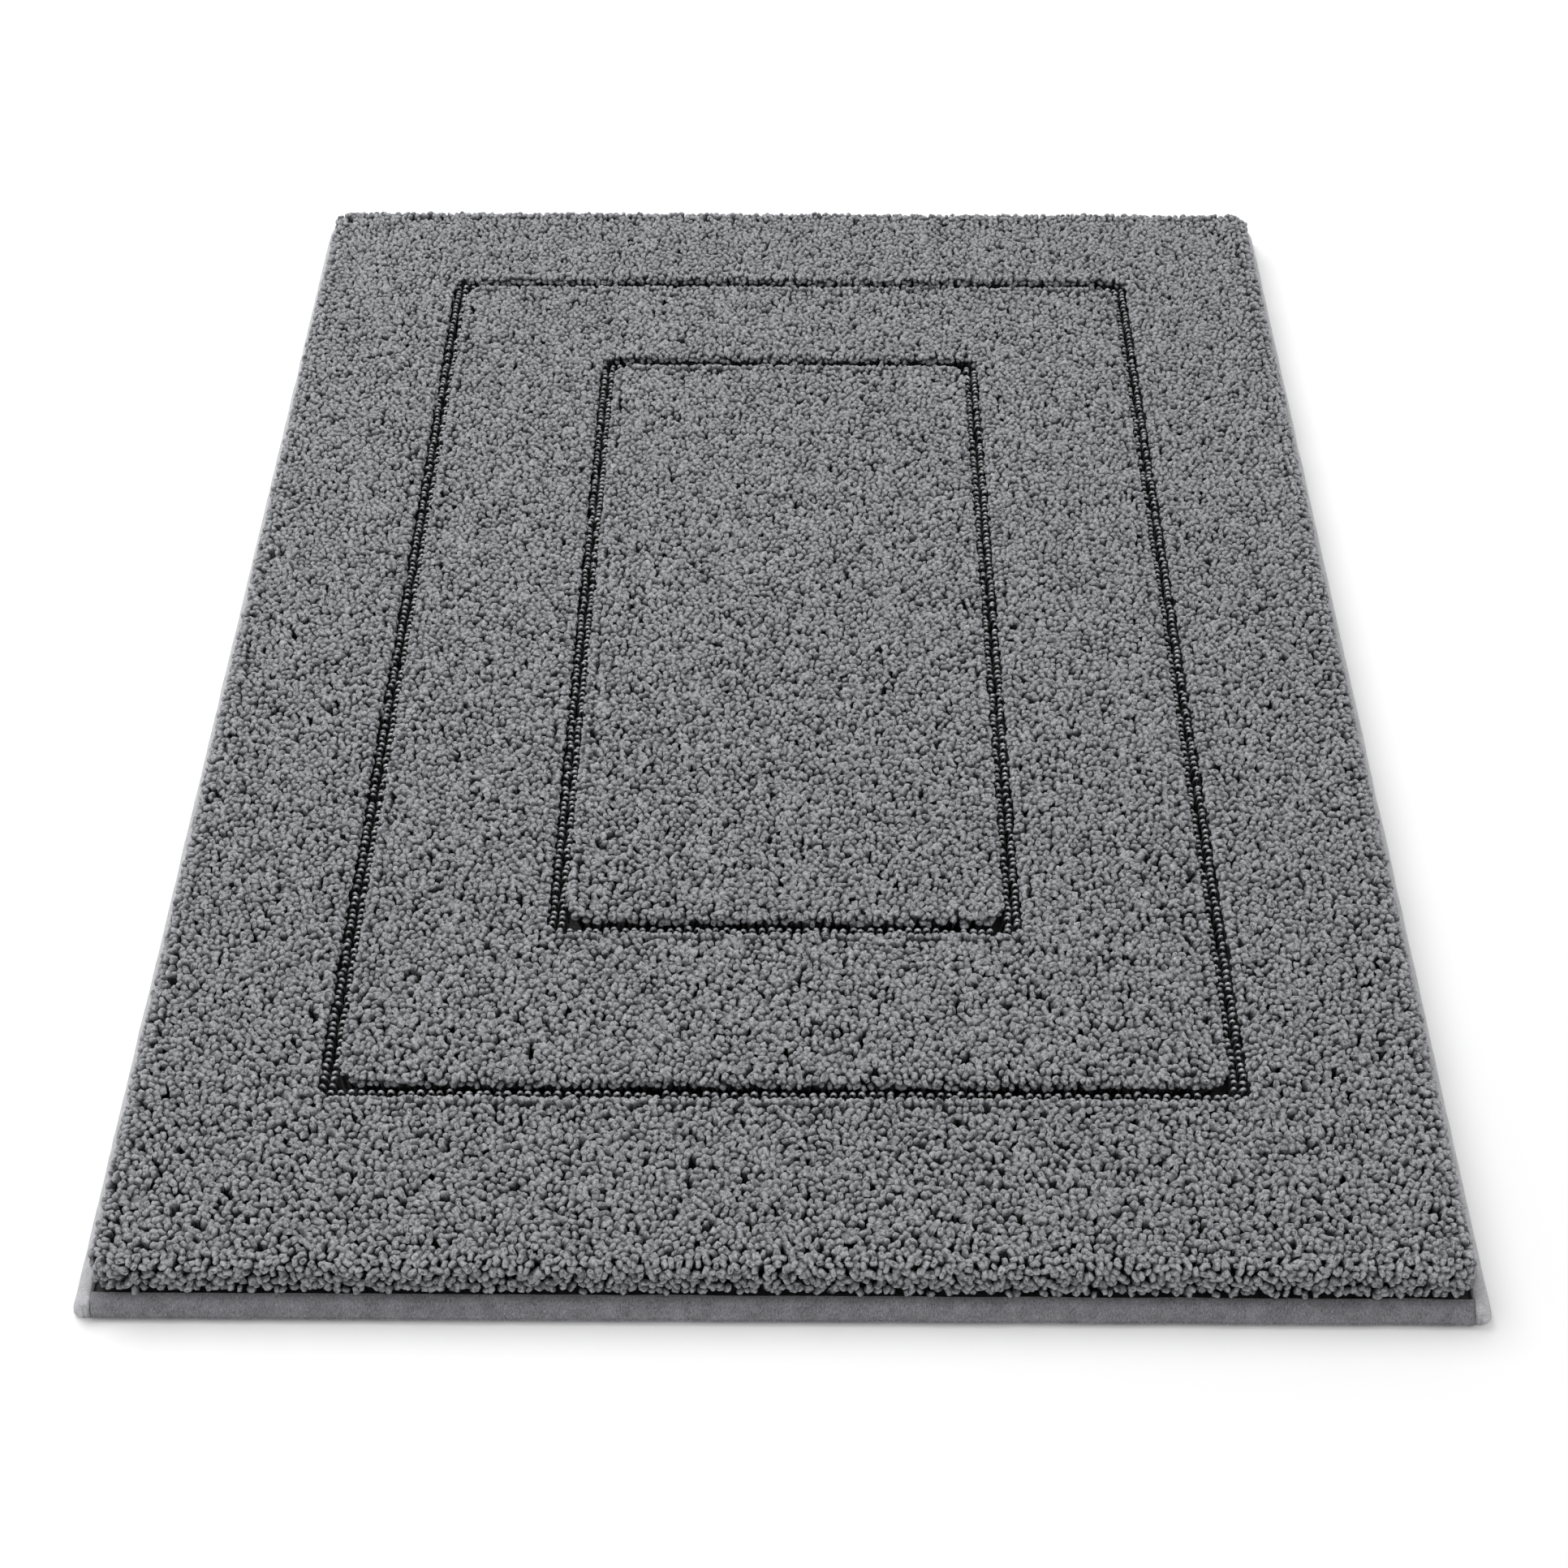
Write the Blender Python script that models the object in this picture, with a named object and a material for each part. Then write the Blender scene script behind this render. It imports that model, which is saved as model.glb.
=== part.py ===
"""Tufted bath mat with two carved channels, built as the layers and trims it is made from.

From the floor up: a non-slip rubber backing, the latex precoat that locks the tufts, the woven
primary backing, then the pile. The pile stands in three fields, an outer band, a middle band and
a centre panel, parted by two rectangular channels of low loops. Four lengths of felt tape bind
the edges, each sewn down with its own thread.

X is the width, Y the length and Z up. The origin is the middle of the footprint, on the floor,
and the mat's front edge faces -Y.
"""

import math
from dataclasses import dataclass

import bmesh
import bpy

MM = 0.001

# Driving dimensions, in millimetres.
mat_width = 432.0
mat_length = 610.0

rubber_thickness = 2.0
precoat_thickness = 0.6
scrim_thickness = 1.2
pile_height = 15.6          # of the cut tufts, above the woven backing
loop_height = 11.6          # of the low loops, above the woven backing

side_border = 69.0          # mat edge to the outer channel's centre line, left and right
front_border = 77.0
back_border = 65.0
side_band = 69.0            # outer channel's centre line to the inner one's, left and right
front_band = 72.5
back_band = 61.0
channel_width = 7.6
pile_shoulder = 4.5         # radius that the tufts round over at the edge of a pile field
pile_lean = 0.8             # how far a pile wall leans in over its foot

tape_width = 6.0            # from the mat's edge to the foot of the pile
tape_height = 7.4
tape_ply = 1.2              # thickness of one ply of tape
tape_foot_radius = 1.2
tape_nub_setback = 1.0      # the side tapes end this far short of the front and back tapes
tape_nub_radius = 2.2

thread_width = 0.9
thread_thickness = 0.5
thread_setback = 1.4        # thread's centre line, in from the tape's inner edge
thread_end_margin = 3.0

clearance = 0.3             # gap kept between pieces that lie on each other

SHOULDER_STEPS = 4
NOSE_STEPS = 9
NUB_STEPS = 4
RIDGE_STEPS = 6

# Levels, worked out from the layer thicknesses.
precoat_bottom = rubber_thickness + clearance
scrim_bottom = precoat_bottom + precoat_thickness + clearance
scrim_top = scrim_bottom + scrim_thickness
yarn_bottom = scrim_top + clearance
pile_top = scrim_top + pile_height
loop_top = scrim_top + loop_height


@dataclass(frozen=True)
class Rect:
    """A rectangle square to the axes, in millimetres."""

    left: float
    right: float
    front: float
    back: float

    def inset(self, by):
        """The same rectangle with every side moved inwards."""
        return Rect(self.left + by, self.right - by, self.front + by, self.back - by)

    def corners(self, z):
        """Its four corners at a height, in metres."""
        return [(self.left * MM, self.front * MM, z * MM), (self.right * MM, self.front * MM, z * MM),
                (self.right * MM, self.back * MM, z * MM), (self.left * MM, self.back * MM, z * MM)]


MAT = Rect(-mat_width / 2, mat_width / 2, -mat_length / 2, mat_length / 2)
OUTER_CHANNEL = Rect(MAT.left + side_border, MAT.right - side_border,
                     MAT.front + front_border, MAT.back - back_border)
INNER_CHANNEL = Rect(OUTER_CHANNEL.left + side_band, OUTER_CHANNEL.right - side_band,
                     OUTER_CHANNEL.front + front_band, OUTER_CHANNEL.back - back_band)
STACK = MAT.inset(tape_ply + tape_foot_radius / 2 + clearance)      # outline of the backing layers


def clear_scene():
    """Remove whatever the file opened with."""
    for item in list(bpy.data.objects):
        bpy.data.objects.remove(item, do_unlink=True)


def finish(name, colour, roughness):
    """A plain material in the piece's own colour."""
    made = bpy.data.materials.new(name)
    made.use_nodes = True
    shader = made.node_tree.nodes["Principled BSDF"]
    shader.inputs["Base Color"].default_value = (*colour, 1.0)
    shader.inputs["Roughness"].default_value = roughness
    shader.inputs["Metallic"].default_value = 0.0
    return made


def loft(name, loops, material, closed=False):
    """Join a row of outlines into one solid, as a tube that closes on itself or with two caps.

    Every outline has the same number of points, and starts at the matching one.
    """
    mesh = bpy.data.meshes.new(name)
    bm = bmesh.new()
    rings = [[bm.verts.new(point) for point in outline] for outline in loops]
    pairs = list(zip(rings, rings[1:]))
    if closed:
        pairs.append((rings[-1], rings[0]))
    else:
        bm.faces.new(rings[0][::-1])
        bm.faces.new(rings[-1])
    for first, second in pairs:
        for corner in range(len(first)):
            following = (corner + 1) % len(first)
            bm.faces.new((first[corner], first[following], second[following], second[corner]))
    if bm.calc_volume(signed=True) < 0:
        bmesh.ops.reverse_faces(bm, faces=bm.faces[:])
    bm.to_mesh(mesh)
    bm.free()
    mesh.materials.append(material)
    made = bpy.data.objects.new(name, mesh)
    bpy.context.scene.collection.objects.link(made)
    return made


def cutter(name, loops, material):
    """A solid that only cuts others."""
    made = loft(name, loops, material)
    made.hide_render = True
    made.display_type = "WIRE"
    return made


def cut(piece, tool):
    """Subtract a cutter from a piece."""
    boolean = piece.modifiers.new("cut_" + tool.name, "BOOLEAN")
    boolean.operation = "DIFFERENCE"
    boolean.solver = "EXACT"
    boolean.object = tool


def slab(name, outline, bottom, top, material):
    """A flat layer."""
    return loft(name, [outline.corners(bottom), outline.corners(top)], material)


def wall_up(foot, sign):
    """One wall of a pile field from its foot to its flat top, as (rectangle, height) pairs.

    sign is 1 for a wall that faces out of the field and -1 for one that faces a hole in it.
    """
    radius = min(pile_shoulder, (pile_top - yarn_bottom) / 2)
    rows = [(foot, yarn_bottom)]
    for step in range(SHOULDER_STEPS + 1):
        angle = math.pi / 2 * step / SHOULDER_STEPS
        inwards = pile_lean + radius * (1 - math.cos(angle))
        rows.append((foot.inset(sign * inwards), pile_top - radius * (1 - math.sin(angle))))
    return rows


def pile_band(name, outer_foot, inner_foot, material):
    """A ring of pile between two rectangles, rounded over at both."""
    rows = wall_up(outer_foot, 1) + wall_up(inner_foot, -1)[::-1]
    return loft(name, [rect.corners(z) for rect, z in rows], material, closed=True)


def pile_panel(name, foot, material):
    """A solid rectangle of pile, rounded over at its edge."""
    return loft(name, [rect.corners(z) for rect, z in wall_up(foot, 1)], material)


def loop_ring(name, centre_line, material):
    """Two ridges of low loops side by side, right round a channel."""
    half = channel_width / 2 - clearance
    ridge = half / 2
    spring = loop_top - ridge
    rows = [(-half, yarn_bottom)]
    for middle in (-ridge, ridge):
        for step in range(RIDGE_STEPS + 1):
            if middle > 0 and step == 0:
                continue
            angle = math.pi * (1 - step / RIDGE_STEPS)
            rows.append((middle + ridge * math.cos(angle), spring + ridge * math.sin(angle)))
    rows.append((half, yarn_bottom))
    return loft(name, [centre_line.inset(-out).corners(z) for out, z in rows], material, closed=True)


def tape_outline(nose_inset=0.0):
    """Outline of a folded tape, as (distance in from the mat's edge, height) pairs."""
    inner = tape_width - clearance
    foot = tape_foot_radius
    nose = inner - tape_ply - nose_inset
    points = [(inner, 0.0), (nose_inset + foot, 0.0)]
    points.append((nose_inset + foot * (1 - math.sin(math.pi / 4)), foot * (1 - math.cos(math.pi / 4))))
    for step in range(NOSE_STEPS + 1):
        angle = math.pi / 2 * step / NOSE_STEPS
        height = foot + (tape_height - nose_inset / 2 - foot) * math.sin(angle)
        points.append((nose_inset + nose * (1 - math.cos(angle)), height))
    points.append((inner, tape_height - nose_inset / 2))
    return points


def side_tape(name, side, material):
    """A tape along a long edge, its two ends rounded off. side is -1 for left and 1 for right."""
    reach = mat_length / 2 - tape_nub_setback
    stations = []
    for step in range(NUB_STEPS + 1):
        angle = math.pi / 2 * step / NUB_STEPS
        stations.append((reach - tape_nub_radius * (1 - math.sin(angle)),
                         tape_nub_radius * (1 - math.cos(angle))))
    runs = [(-along, inset) for along, inset in stations[::-1]] + stations
    loops = [[(side * (mat_width / 2 - u) * MM, along * MM, z * MM) for u, z in tape_outline(inset)]
             for along, inset in runs]
    return loft(name, loops, material)


def end_tape(name, side, material):
    """A tape along a short edge, between the side tapes. side is -1 for front and 1 for back."""
    reach = mat_width / 2 - tape_width
    loops = [[(along * MM, side * (mat_length / 2 - u) * MM, z * MM) for u, z in tape_outline()]
             for along in (-reach, reach)]
    return loft(name, loops, material)


def thread_outline(slack=0.0):
    """Six-sided outline of a thread, or of the groove that it lies in, about its centre line."""
    half = thread_width / 2 + slack
    bottom = 0.05 - slack * 2
    top = 0.05 + thread_thickness + slack
    middle = (bottom + top) / 2
    return [(-half, middle), (-half / 2, bottom), (half / 2, bottom), (half, middle),
            (half / 2, top), (-half / 2, top)]


def thread_run(along_x, side, reach, slack=0.0):
    """The two end outlines of a straight thread under a tape."""
    across = (mat_length if along_x else mat_width) / 2 - (tape_width - clearance - thread_setback)
    loops = []
    for along in (-reach - slack, reach + slack):
        if along_x:
            loops.append([(along * MM, (side * across + u) * MM, z * MM) for u, z in thread_outline(slack)])
        else:
            loops.append([((side * across + u) * MM, along * MM, z * MM) for u, z in thread_outline(slack)])
    return loops


def build():
    """Make every piece of the mat."""
    clear_scene()
    pile_yarn = finish("pile_yarn", (0.19, 0.19, 0.2), 0.95)
    loop_yarn = finish("loop_yarn", (0.23, 0.23, 0.24), 0.9)
    felt = finish("felt_tape", (0.17, 0.17, 0.18), 0.95)
    thread = finish("sewing_thread", (0.14, 0.14, 0.15), 0.7)
    scrim = finish("woven_scrim", (0.32, 0.32, 0.31), 0.85)
    latex = finish("latex_precoat", (0.55, 0.54, 0.5), 0.6)
    rubber = finish("nonslip_rubber", (0.24, 0.24, 0.25), 0.7)

    lip = MAT.inset(tape_width)
    loft("nonslip_backing",
         [lip.corners(0.0), lip.corners(tape_ply + clearance),
          STACK.corners(tape_ply + clearance), STACK.corners(rubber_thickness)], rubber)
    slab("latex_precoat", STACK, precoat_bottom, precoat_bottom + precoat_thickness, latex)
    slab("woven_backing", STACK, scrim_bottom, scrim_top, scrim)

    half = channel_width / 2
    pile_band("pile_outer_band", MAT.inset(tape_width), OUTER_CHANNEL.inset(-half), pile_yarn)
    pile_band("pile_middle_band", OUTER_CHANNEL.inset(half), INNER_CHANNEL.inset(-half), pile_yarn)
    pile_panel("pile_centre_panel", INNER_CHANNEL.inset(half), pile_yarn)
    loop_ring("outer_channel_loops", OUTER_CHANNEL, loop_yarn)
    loop_ring("inner_channel_loops", INNER_CHANNEL, loop_yarn)

    pocket = STACK.inset(-clearance)
    pocket_tool = cutter("pocket_tool", [pocket.corners(tape_ply), pocket.corners(yarn_bottom)], felt)
    for edge, along_x, side in (("front", True, -1), ("back", True, 1), ("left", False, -1), ("right", False, 1)):
        reach = mat_width / 2 - tape_width if along_x else mat_length / 2 - tape_nub_setback
        reach -= thread_end_margin
        tape = (end_tape if along_x else side_tape)(edge + "_binding_tape", side, felt)
        groove = cutter(edge + "_groove_tool", thread_run(along_x, side, reach, clearance), felt)
        cut(tape, pocket_tool)
        cut(tape, groove)
        loft(edge + "_binding_thread", thread_run(along_x, side, reach), thread)


build()
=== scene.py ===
"""The looks of a tufted bath mat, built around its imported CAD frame.

Every tuft of the pile and every low loop in the channels is its own small curled or arched yarn.
The felt tapes, their stitches, the cloth and the rubber underneath are meshes too, and each finish
is a node material that is scaled in millimetres.
"""

import logging
import math
from dataclasses import dataclass, field
from enum import Enum

import bmesh
import bpy
import numpy as np
from mathutils import Euler, Matrix, Vector, noise
from mathutils.kdtree import KDTree


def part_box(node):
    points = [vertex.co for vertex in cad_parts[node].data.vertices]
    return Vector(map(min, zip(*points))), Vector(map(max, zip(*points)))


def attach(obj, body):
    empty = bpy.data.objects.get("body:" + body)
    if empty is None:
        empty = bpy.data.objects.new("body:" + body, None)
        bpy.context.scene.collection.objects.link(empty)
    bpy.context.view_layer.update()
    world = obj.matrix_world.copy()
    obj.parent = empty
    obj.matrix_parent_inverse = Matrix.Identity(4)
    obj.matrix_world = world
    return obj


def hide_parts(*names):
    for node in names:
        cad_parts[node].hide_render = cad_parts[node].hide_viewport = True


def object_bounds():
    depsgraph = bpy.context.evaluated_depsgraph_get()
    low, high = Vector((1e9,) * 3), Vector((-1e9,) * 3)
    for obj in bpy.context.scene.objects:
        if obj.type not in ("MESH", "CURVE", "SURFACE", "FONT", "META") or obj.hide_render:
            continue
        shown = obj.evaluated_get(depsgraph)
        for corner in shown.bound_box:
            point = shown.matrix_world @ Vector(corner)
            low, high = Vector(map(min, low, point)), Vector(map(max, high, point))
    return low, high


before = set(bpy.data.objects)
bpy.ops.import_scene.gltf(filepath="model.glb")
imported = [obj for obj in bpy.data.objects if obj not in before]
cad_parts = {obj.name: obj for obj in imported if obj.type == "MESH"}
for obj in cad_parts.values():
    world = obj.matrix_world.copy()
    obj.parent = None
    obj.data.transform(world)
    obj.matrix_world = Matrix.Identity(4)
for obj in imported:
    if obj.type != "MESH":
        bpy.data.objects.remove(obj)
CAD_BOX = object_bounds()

MM = 0.001
SEED = 20
BODY = "root"
CLEARANCE = 0.3 * MM            # the gap that the CAD keeps between pieces

log = logging.getLogger("bath_mat")


# ---------------------------------------------------------------- colour and node helpers


def linear(hex_colour: str) -> tuple[float, float, float, float]:
    """Turn an sRGB hex colour into the linear values that a shader reads.

    Args:
        hex_colour: six hex digits, with or without a leading hash.

    Returns:
        Red, green, blue and an alpha of 1.
    """
    digits = hex_colour.lstrip("#")
    values = []
    for start in (0, 2, 4):
        encoded = int(digits[start:start + 2], 16) / 255
        values.append(encoded / 12.92 if encoded <= 0.04045 else ((encoded + 0.055) / 1.055) ** 2.4)
    return (values[0], values[1], values[2], 1.0)


def fill(node: bpy.types.Node, inputs: dict) -> None:
    """Set a node's inputs, by name or index, to values, or link them to output sockets."""
    for name, value in inputs.items():
        socket = node.inputs[name]
        if isinstance(value, bpy.types.NodeSocket):
            node.id_data.links.new(value, socket)
        else:
            socket.default_value = value


def add_node(tree: bpy.types.NodeTree, kind: str, inputs: dict, output: str, stops: tuple = (),
             **settings: object) -> bpy.types.NodeSocket:
    """Add a node, set its properties, and fill or link its inputs.

    Args:
        tree: the node tree that gets the node.
        kind: the node's type name without its ShaderNode, such as Math.
        inputs: values or output sockets, by input name or index.
        output: the name of the output to give back.
        stops: positions and hex colours for the node's own colour ramp, in order.
        settings: properties by name.

    Returns:
        The output socket.
    """
    node = tree.nodes.new(f"ShaderNode{kind}")
    for name, value in settings.items():
        setattr(node, name, value)
    fill(node, inputs)
    if stops:
        elements = node.color_ramp.elements
        while len(elements) < len(stops):
            elements.new(0.5)
        for element, (position, colour) in zip(elements, stops):
            element.position, element.color = position, linear(colour)
    return node.outputs[output]


def new_material(name: str) -> tuple[bpy.types.Material, bpy.types.NodeTree, bpy.types.Node]:
    """Start a node material and give it with its tree and its shader."""
    made = bpy.data.materials.new(name)
    made.use_nodes = True
    return made, made.node_tree, made.node_tree.nodes["Principled BSDF"]


# ---------------------------------------------------------------- finishes


@dataclass(frozen=True)
class CurledYarn:
    """Matt textured polyester yarn, steamed so that each cut end curls and blooms.

    The bloom hides single fibres, so the eye gets soft round tips with fine streaks where the filaments
    run along the yarn. Its colours run from dark to pale up each tuft: painted shade down between the
    tufts and a painted highlight on the tips.
    """

    name: str = "curled_polyester_yarn"
    # root, flank and tip are spread by the height up the tuft: the dark root is painted shade deep in the
    # pile, the pale tip a painted highlight
    root: str = "#202123"
    flank: str = "#67686b"
    tip: str = "#bbbcbf"
    tone_spread: float = 0.13       # how far one tuft may differ from the next
    filament_mm: float = 0.42       # a bundle of filaments, drawn coarser than one so that it shows
    streak_mm: float = 1.1          # how far a bundle runs before it dives
    bump_mm: float = 0.18
    clump_mm: float = 0.9           # size of the clumps that the filaments gather in
    clump_bump_mm: float = 0.7
    roughness: float = 0.85
    specular: float = 0.3
    sheen: float = 0.2
    apart: float = 400.0            # how far the pattern jumps from one tuft's tone to another's
    clump_stretch: float = 0.8      # how short a clump is along the yarn, as a share
    streak_share: float = 0.8       # weight of the streaks against the clumps
    texture_share: float = 0.5      # weight of both against the height up the tuft
    lit_range: float = 1.4          # the largest sum of them that the colours spread over

    def material(self) -> bpy.types.Material:
        """Make the node material."""
        made, tree, shader = new_material(self.name)
        rise = add_node(tree, "Attribute", {}, "Fac", attribute_name="yarn_rise")
        tone = add_node(tree, "Attribute", {}, "Fac", attribute_name="yarn_tone")
        around = add_node(tree, "UVMap", {}, "UV", uv_map="yarn")
        apart = add_node(tree, "CombineXYZ", {"Z": tone}, "Vector")
        spread = add_node(tree, "VectorMath", {0: apart, "Scale": self.apart}, "Vector", operation="SCALE")
        place = {}
        for name, size in (("streaks", (1 / self.filament_mm, 1 / self.streak_mm, 0.0)),
                           ("clumps", (1 / self.clump_mm, self.clump_stretch / self.clump_mm, 0.0))):
            place[name] = add_node(tree, "VectorMath", {0: around, 1: size, 2: spread}, "Vector",
                                   operation="MULTIPLY_ADD")
        streaks = add_node(tree, "TexNoise", {"Vector": place["streaks"], "Scale": 1.0, "Detail": 2.0,
                                              "Roughness": 0.6, "Distortion": 0.5}, "Fac")
        clumps = add_node(tree, "TexNoise", {"Vector": place["clumps"], "Scale": 1.0, "Detail": 1.0}, "Fac")
        both = add_node(tree, "Math", {0: streaks, 1: self.streak_share, 2: clumps}, "Value",
                        operation="MULTIPLY_ADD")
        # adding the height up the yarn paints shade low down and a highlight on top
        lit = add_node(tree, "Math", {0: both, 1: self.texture_share, 2: rise}, "Value",
                       operation="MULTIPLY_ADD")
        eased = add_node(tree, "Math", {0: lit, 1: self.lit_range}, "Value", operation="DIVIDE",
                         use_clamp=True)
        colour = add_node(tree, "ValToRGB", {"Fac": eased}, "Color",
                          stops=((0.47, self.root), (0.71, self.flank), (0.97, self.tip)))
        shift = add_node(tree, "MapRange", {"Value": tone, "To Min": 1 - self.tone_spread,
                                            "To Max": 1 + self.tone_spread}, "Result")
        toned = add_node(tree, "VectorMath", {0: colour, "Scale": shift}, "Vector", operation="SCALE")
        clumped = add_node(tree, "Bump", {"Height": clumps, "Strength": 1.0,
                                          "Distance": self.clump_bump_mm * MM}, "Normal")
        bump = add_node(tree, "Bump", {"Height": streaks, "Strength": 1.0, "Distance": self.bump_mm * MM,
                                       "Normal": clumped}, "Normal")
        fill(shader, {"Base Color": toned, "Normal": bump, "Roughness": self.roughness,
                      "Specular IOR Level": self.specular, "Sheen Weight": self.sheen,
                      "Sheen Roughness": 0.5})
        return made


@dataclass(frozen=True)
class BrushedFelt:
    """Needle-punched polyester felt tape, brushed so that a short nap lies across the edge.

    The nap is a mass of short curly fibres, so the eye gets fine pale streaks on a darker ground.
    """

    name: str = "brushed_felt_tape"
    ground: str = "#525256"
    nap: str = "#9d9da2"
    streak_mm: float = 0.9          # length of a streak of nap
    fibre_mm: float = 0.24          # its width, drawn coarser than a fibre so that it shows
    curl_mm: float = 1.2            # how far a streak runs before it bends away
    comb_degrees: float = 8.0       # how far the nap leans off square to the edge
    cloud_mm: float = 5.0           # size of the paler and darker places in the felt
    cloud_share: float = 0.3        # their weight against the streaks
    bump_mm: float = 0.3

    def material(self) -> bpy.types.Material:
        """Make the node material."""
        made, tree, shader = new_material(self.name)
        flat = add_node(tree, "UVMap", {}, "UV", uv_map="felt")
        turned = add_node(tree, "VectorRotate", {"Vector": flat, "Angle": math.radians(self.comb_degrees)},
                          "Vector", rotation_type="Z_AXIS")
        curl = add_node(tree, "TexNoise", {"Vector": flat, "Scale": 1 / self.curl_mm, "Detail": 0.0},
                        "Color")
        bend = (self.curl_mm * 0.6, self.curl_mm * 0.3, 0.0)
        curled = add_node(tree, "VectorMath", {0: curl, 1: bend, 2: turned}, "Vector",
                          operation="MULTIPLY_ADD")
        fibre = (1 / self.fibre_mm, 1 / self.streak_mm, 1.0)
        stretched = add_node(tree, "VectorMath", {0: curled, 1: fibre}, "Vector", operation="MULTIPLY")
        streaks = add_node(tree, "TexNoise", {"Vector": stretched, "Scale": 1.0, "Detail": 2.0,
                                              "Roughness": 0.6, "Distortion": 1.2}, "Fac")
        place = add_node(tree, "TexCoord", {}, "Object")
        clouds = add_node(tree, "TexNoise", {"Vector": place, "Scale": 1 / (self.cloud_mm * MM),
                                             "Detail": 2.0}, "Fac")
        mixed = add_node(tree, "Math", {0: clouds, 1: self.cloud_share, 2: streaks}, "Value",
                         operation="MULTIPLY_ADD", use_clamp=True)
        colour = add_node(tree, "ValToRGB", {"Fac": mixed}, "Color",
                          stops=((0.46, self.ground), (0.84, self.nap)))
        bump = add_node(tree, "Bump", {"Height": streaks, "Strength": 1.0, "Distance": self.bump_mm * MM},
                        "Normal")
        fill(shader, {"Base Color": colour, "Normal": bump, "Roughness": 0.95, "Specular IOR Level": 0.2,
                      "Sheen Weight": 0.5, "Sheen Roughness": 0.4})
        return made


@dataclass(frozen=True)
class SpunThread:
    """Three-ply spun polyester sewing thread: a fine rope of plies with a dry, even colour."""

    name: str = "spun_polyester_thread"
    # groove is painted shade in the grooves between the plies; ply is the thread's own colour
    groove: str = "#38383b"
    ply: str = "#6a6a6e"
    ply_mm: float = 0.42
    lay_degrees: float = 35.0       # how far the plies slant across the thread

    def material(self) -> bpy.types.Material:
        """Make the node material."""
        made, tree, shader = new_material(self.name)
        around = add_node(tree, "UVMap", {}, "UV", uv_map="yarn")
        laid = add_node(tree, "VectorRotate", {"Vector": around, "Angle": math.radians(self.lay_degrees)},
                        "Vector", rotation_type="Z_AXIS")
        plies = add_node(tree, "TexWave", {"Vector": laid, "Scale": math.tau / 20 / self.ply_mm,
                                           "Distortion": 0.4, "Detail": 1.0}, "Fac",
                         wave_type="BANDS", bands_direction="X")
        colour = add_node(tree, "ValToRGB", {"Fac": plies}, "Color",
                          stops=((0.2, self.groove), (0.8, self.ply)))
        bump = add_node(tree, "Bump", {"Height": plies, "Strength": 0.8, "Distance": 0.08 * MM}, "Normal")
        fill(shader, {"Base Color": colour, "Normal": bump, "Roughness": 0.7, "Sheen Weight": 0.2})
        return made


@dataclass(frozen=True)
class WovenTapeCloth:
    """Plain-woven polypropylene tape cloth: flat half-matt ribbons, one over and one under."""

    name: str = "woven_polypropylene_cloth"
    ribbon: str = "#3c3c3e"
    # gap is painted shade between the ribbons, where they dip under each other
    gap: str = "#1c1c1d"
    ribbon_mm: float = 1.6

    def material(self) -> bpy.types.Material:
        """Make the node material."""
        made, tree, shader = new_material(self.name)
        place = add_node(tree, "TexCoord", {}, "Object")
        ribbon = linear(self.ribbon)
        weave = add_node(tree, "TexBrick", {"Vector": place, "Scale": 1 / (self.ribbon_mm * MM),
                                            "Color1": ribbon, "Color2": ribbon, "Mortar": linear(self.gap),
                                            "Mortar Size": 0.08, "Mortar Smooth": 0.6, "Brick Width": 2.0,
                                            "Row Height": 1.0}, "Color", offset=0.5, offset_frequency=2)
        bump = add_node(tree, "Bump", {"Height": weave.node.outputs["Fac"], "Strength": 0.6,
                                       "Distance": 0.2 * MM}, "Normal", invert=True)
        fill(shader, {"Base Color": weave, "Normal": bump, "Roughness": 0.55})
        return made


@dataclass(frozen=True)
class MattRubber:
    """Spread rubber, matt and faintly mottled where it dried."""

    name: str
    body: str
    bloom: str
    grain_mm: float
    roughness: float
    mottle_mm: float = 14.0

    def material(self) -> bpy.types.Material:
        """Make the node material."""
        made, tree, shader = new_material(self.name)
        place = add_node(tree, "TexCoord", {}, "Object")
        mottle = add_node(tree, "TexNoise", {"Vector": place, "Scale": 1 / (self.mottle_mm * MM),
                                             "Detail": 4.0}, "Fac")
        grain = add_node(tree, "TexNoise", {"Vector": place, "Scale": 1 / (self.grain_mm * MM),
                                            "Detail": 2.0, "Roughness": 0.7}, "Fac")
        mixed = add_node(tree, "Math", {0: grain, 1: 0.3, 2: mottle}, "Value", operation="MULTIPLY_ADD",
                         use_clamp=True)
        colour = add_node(tree, "ValToRGB", {"Fac": mixed}, "Color",
                          stops=((0.35, self.body), (0.95, self.bloom)))
        bump = add_node(tree, "Bump", {"Height": grain, "Strength": 0.35, "Distance": 0.15 * MM}, "Normal")
        fill(shader, {"Base Color": colour, "Normal": bump, "Roughness": self.roughness, "IOR": 1.5})
        return made


class Slot(Enum):
    """The material slots."""

    PILE = "pile_yarn"
    LOOPS = "loop_yarn"
    TAPE = "felt_tape"
    THREAD = "sewing_thread"
    CLOTH = "woven_scrim"
    LATEX = "latex_precoat"
    RUBBER = "nonslip_rubber"


# ---------------------------------------------------------------- places


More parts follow.
